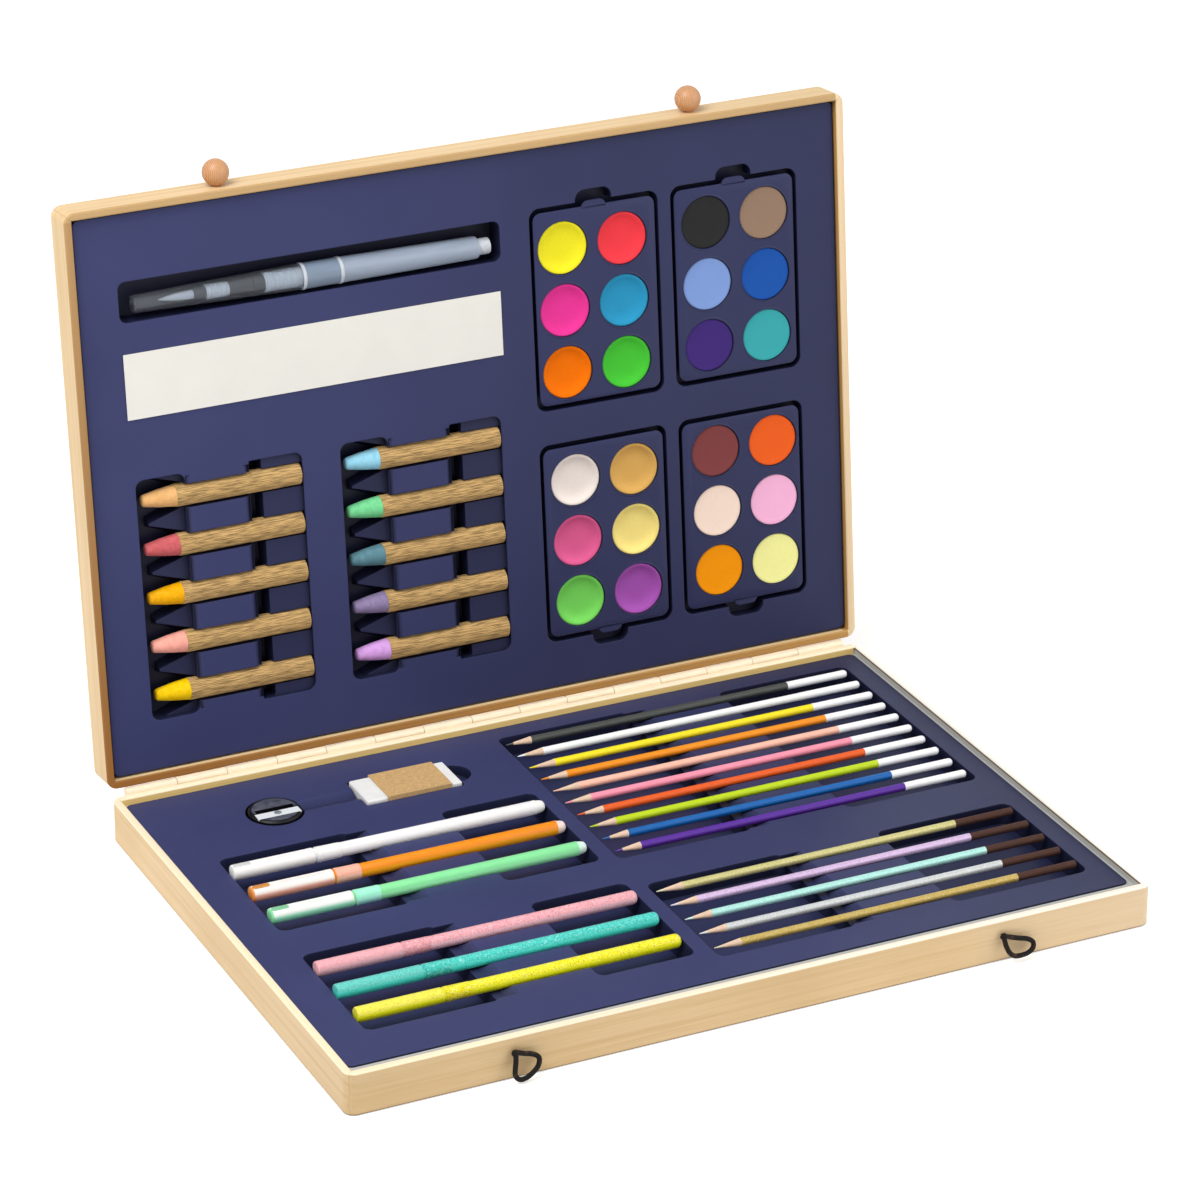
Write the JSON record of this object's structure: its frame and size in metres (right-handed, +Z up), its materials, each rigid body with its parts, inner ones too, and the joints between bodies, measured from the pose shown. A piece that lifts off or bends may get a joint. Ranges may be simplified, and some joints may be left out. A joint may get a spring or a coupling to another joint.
{
  "type": "art case",
  "caption": "Flat hinged wooden art case standing open, with formed trays of pencils, pens, crayons, paint palettes and a water brush.",
  "frame": {"origin": "middle of the base's underside, which stands on the table", "axes": "+X to the right along the case's width, +Y from the front to the hinges, +Z up"},
  "size_m": [0.376, 0.3177, 0.2941],
  "materials": {
    "case_wood": "satin",
    "panel_board": "satin",
    "navy_tray": "matte",
    "grey_card": "matte",
    "hinge_brass": "satin",
    "knob_wood": "satin",
    "label_card": "matte",
    "elastic_cord": "matte",
    "pencil_wood": "gloss",
    "pen_plastic": "gloss",
    "cap_plastic": "gloss",
    "sharpener_plastic": "gloss",
    "blade_steel": "brushed",
    "eraser_rubber": "matte",
    "kraft_card": "matte",
    "crayon_wax": "satin",
    "palette_plastic": "matte",
    "brush_plastic": "gloss",
    "clear_plastic": "clear"
  },
  "bodies": {
    "base": {"base_frame": "case_wood", "base_panel": "panel_board", "base_tray": "navy_tray", "base_spacer": "grey_card", "hinge_base": "hinge_brass"},
    "lid": {"lid_frame": "case_wood", "lid_panel": "panel_board", "lid_tray": "navy_tray", "hinge_lid": "hinge_brass", "knobs": "knob_wood", "label_strip": "label_card"},
    "loop_left": {"loop_left": "elastic_cord"},
    "loop_right": {"loop_right": "elastic_cord"},
    "pencil_01": {"pencil_01": "pencil_wood"},
    "pencil_02": {"pencil_02": "pencil_wood"},
    "pencil_03": {"pencil_03": "pencil_wood"},
    "pencil_04": {"pencil_04": "pencil_wood"},
    "pencil_05": {"pencil_05": "pencil_wood"},
    "pencil_06": {"pencil_06": "pencil_wood"},
    "pencil_07": {"pencil_07": "pencil_wood"},
    "pencil_08": {"pencil_08": "pencil_wood"},
    "pencil_09": {"pencil_09": "pencil_wood"},
    "pencil_10": {"pencil_10": "pencil_wood"},
    "metallic_pencil_1": {"metallic_pencil_1": "pencil_wood"},
    "metallic_pencil_2": {"metallic_pencil_2": "pencil_wood"},
    "metallic_pencil_3": {"metallic_pencil_3": "pencil_wood"},
    "metallic_pencil_4": {"metallic_pencil_4": "pencil_wood"},
    "metallic_pencil_5": {"metallic_pencil_5": "pencil_wood"},
    "marker_1": {"marker_1": "pen_plastic", "marker_cap_1": "cap_plastic"},
    "marker_2": {"marker_2": "pen_plastic", "marker_cap_2": "cap_plastic"},
    "marker_3": {"marker_3": "pen_plastic", "marker_cap_3": "cap_plastic"},
    "glitter_pen_1": {"glitter_pen_1": "pen_plastic", "glitter_cap_1": "cap_plastic"},
    "glitter_pen_2": {"glitter_pen_2": "pen_plastic", "glitter_cap_2": "cap_plastic"},
    "glitter_pen_3": {"glitter_pen_3": "pen_plastic", "glitter_cap_3": "cap_plastic"},
    "sharpener": {"sharpener_body": "sharpener_plastic", "sharpener_blade": "blade_steel"},
    "eraser": {"eraser": "eraser_rubber"},
    "eraser_sleeve": {"eraser_sleeve": "kraft_card"},
    "crayon_01": {"crayon_01": "crayon_wax"},
    "crayon_02": {"crayon_02": "crayon_wax"},
    "crayon_03": {"crayon_03": "crayon_wax"},
    "crayon_04": {"crayon_04": "crayon_wax"},
    "crayon_05": {"crayon_05": "crayon_wax"},
    "crayon_06": {"crayon_06": "crayon_wax"},
    "crayon_07": {"crayon_07": "crayon_wax"},
    "crayon_08": {"crayon_08": "crayon_wax"},
    "crayon_09": {"crayon_09": "crayon_wax"},
    "crayon_10": {"crayon_10": "crayon_wax"},
    "palette_1": {"palette_1": "palette_plastic"},
    "palette_2": {"palette_2": "palette_plastic"},
    "palette_3": {"palette_3": "palette_plastic"},
    "palette_4": {"palette_4": "palette_plastic"},
    "water_brush": {"water_brush": "brush_plastic", "brush_cap": "clear_plastic"}
  },
  "joints": [
    {"name": "lid_hinge", "type": "hinge", "parent": "base", "child": "lid", "pos_m": [0, 0.13374, 0.0196], "axis": [-1, 0, 0], "range_deg": [-96.41, 0]},
    {"name": "loop_left_turn", "type": "hinge", "parent": "base", "child": "loop_left", "pos_m": [-0.1148, -0.13339, 0.0128], "axis": [-1, 0, 0], "range_deg": [0, 150]},
    {"name": "loop_right_turn", "type": "hinge", "parent": "base", "child": "loop_right", "pos_m": [0.1133, -0.13339, 0.0128], "axis": [-1, 0, 0], "range_deg": [0, 150]},
    {"name": "pencil_01_lift", "type": "slide", "parent": "base", "child": "pencil_01", "axis": [0, 0, 1], "range_m": [0, 0.025]},
    {"name": "pencil_02_lift", "type": "slide", "parent": "base", "child": "pencil_02", "axis": [0, 0, 1], "range_m": [0, 0.025]},
    {"name": "pencil_03_lift", "type": "slide", "parent": "base", "child": "pencil_03", "axis": [0, 0, 1], "range_m": [0, 0.025]},
    {"name": "pencil_04_lift", "type": "slide", "parent": "base", "child": "pencil_04", "axis": [0, 0, 1], "range_m": [0, 0.025]},
    {"name": "pencil_05_lift", "type": "slide", "parent": "base", "child": "pencil_05", "axis": [0, 0, 1], "range_m": [0, 0.025]},
    {"name": "pencil_06_lift", "type": "slide", "parent": "base", "child": "pencil_06", "axis": [0, 0, 1], "range_m": [0, 0.025]},
    {"name": "pencil_07_lift", "type": "slide", "parent": "base", "child": "pencil_07", "axis": [0, 0, 1], "range_m": [0, 0.025]},
    {"name": "pencil_08_lift", "type": "slide", "parent": "base", "child": "pencil_08", "axis": [0, 0, 1], "range_m": [0, 0.025]},
    {"name": "pencil_09_lift", "type": "slide", "parent": "base", "child": "pencil_09", "axis": [0, 0, 1], "range_m": [0, 0.025]},
    {"name": "pencil_10_lift", "type": "slide", "parent": "base", "child": "pencil_10", "axis": [0, 0, 1], "range_m": [0, 0.025]},
    {"name": "metallic_pencil_1_lift", "type": "slide", "parent": "base", "child": "metallic_pencil_1", "axis": [0, 0, 1], "range_m": [0, 0.025]},
    {"name": "metallic_pencil_2_lift", "type": "slide", "parent": "base", "child": "metallic_pencil_2", "axis": [0, 0, 1], "range_m": [0, 0.025]},
    {"name": "metallic_pencil_3_lift", "type": "slide", "parent": "base", "child": "metallic_pencil_3", "axis": [0, 0, 1], "range_m": [0, 0.025]},
    {"name": "metallic_pencil_4_lift", "type": "slide", "parent": "base", "child": "metallic_pencil_4", "axis": [0, 0, 1], "range_m": [0, 0.025]},
    {"name": "metallic_pencil_5_lift", "type": "slide", "parent": "base", "child": "metallic_pencil_5", "axis": [0, 0, 1], "range_m": [0, 0.025]},
    {"name": "marker_1_lift", "type": "slide", "parent": "base", "child": "marker_1", "axis": [0, 0, 1], "range_m": [0, 0.025]},
    {"name": "marker_2_lift", "type": "slide", "parent": "base", "child": "marker_2", "axis": [0, 0, 1], "range_m": [0, 0.025]},
    {"name": "marker_3_lift", "type": "slide", "parent": "base", "child": "marker_3", "axis": [0, 0, 1], "range_m": [0, 0.025]},
    {"name": "glitter_pen_1_lift", "type": "slide", "parent": "base", "child": "glitter_pen_1", "axis": [0, 0, 1], "range_m": [0, 0.025]},
    {"name": "glitter_pen_2_lift", "type": "slide", "parent": "base", "child": "glitter_pen_2", "axis": [0, 0, 1], "range_m": [0, 0.025]},
    {"name": "glitter_pen_3_lift", "type": "slide", "parent": "base", "child": "glitter_pen_3", "axis": [0, 0, 1], "range_m": [0, 0.025]},
    {"name": "sharpener_lift", "type": "slide", "parent": "base", "child": "sharpener", "axis": [0, 0, 1], "range_m": [0, 0.025]},
    {"name": "eraser_lift", "type": "slide", "parent": "base", "child": "eraser", "axis": [0, 0, 1], "range_m": [0, 0.025]},
    {"name": "eraser_sleeve_slide", "type": "slide", "parent": "eraser", "child": "eraser_sleeve", "axis": [1, 0, 0], "range_m": [-0.009, 0.005]},
    {"name": "crayon_01_lift", "type": "slide", "parent": "lid", "child": "crayon_01", "axis": [0, -0.9937, 0.1116], "range_m": [0, 0.025]},
    {"name": "crayon_02_lift", "type": "slide", "parent": "lid", "child": "crayon_02", "axis": [0, -0.9937, 0.1116], "range_m": [0, 0.025]},
    {"name": "crayon_03_lift", "type": "slide", "parent": "lid", "child": "crayon_03", "axis": [0, -0.9937, 0.1116], "range_m": [0, 0.025]},
    {"name": "crayon_04_lift", "type": "slide", "parent": "lid", "child": "crayon_04", "axis": [0, -0.9937, 0.1116], "range_m": [0, 0.025]},
    {"name": "crayon_05_lift", "type": "slide", "parent": "lid", "child": "crayon_05", "axis": [0, -0.9937, 0.1116], "range_m": [0, 0.025]},
    {"name": "crayon_06_lift", "type": "slide", "parent": "lid", "child": "crayon_06", "axis": [0, -0.9937, 0.1116], "range_m": [0, 0.025]},
    {"name": "crayon_07_lift", "type": "slide", "parent": "lid", "child": "crayon_07", "axis": [0, -0.9937, 0.1116], "range_m": [0, 0.025]},
    {"name": "crayon_08_lift", "type": "slide", "parent": "lid", "child": "crayon_08", "axis": [0, -0.9937, 0.1116], "range_m": [0, 0.025]},
    {"name": "crayon_09_lift", "type": "slide", "parent": "lid", "child": "crayon_09", "axis": [0, -0.9937, 0.1116], "range_m": [0, 0.025]},
    {"name": "crayon_10_lift", "type": "slide", "parent": "lid", "child": "crayon_10", "axis": [0, -0.9937, 0.1116], "range_m": [0, 0.025]},
    {"name": "palette_1_lift", "type": "slide", "parent": "lid", "child": "palette_1", "axis": [0, -0.9937, 0.1116], "range_m": [0, 0.025]},
    {"name": "palette_2_lift", "type": "slide", "parent": "lid", "child": "palette_2", "axis": [0, -0.9937, 0.1116], "range_m": [0, 0.025]},
    {"name": "palette_3_lift", "type": "slide", "parent": "lid", "child": "palette_3", "axis": [0, -0.9937, 0.1116], "range_m": [0, 0.025]},
    {"name": "palette_4_lift", "type": "slide", "parent": "lid", "child": "palette_4", "axis": [0, -0.9937, 0.1116], "range_m": [0, 0.025]},
    {"name": "water_brush_lift", "type": "slide", "parent": "lid", "child": "water_brush", "axis": [0, -0.9937, 0.1116], "range_m": [0, 0.025]}
  ]
}
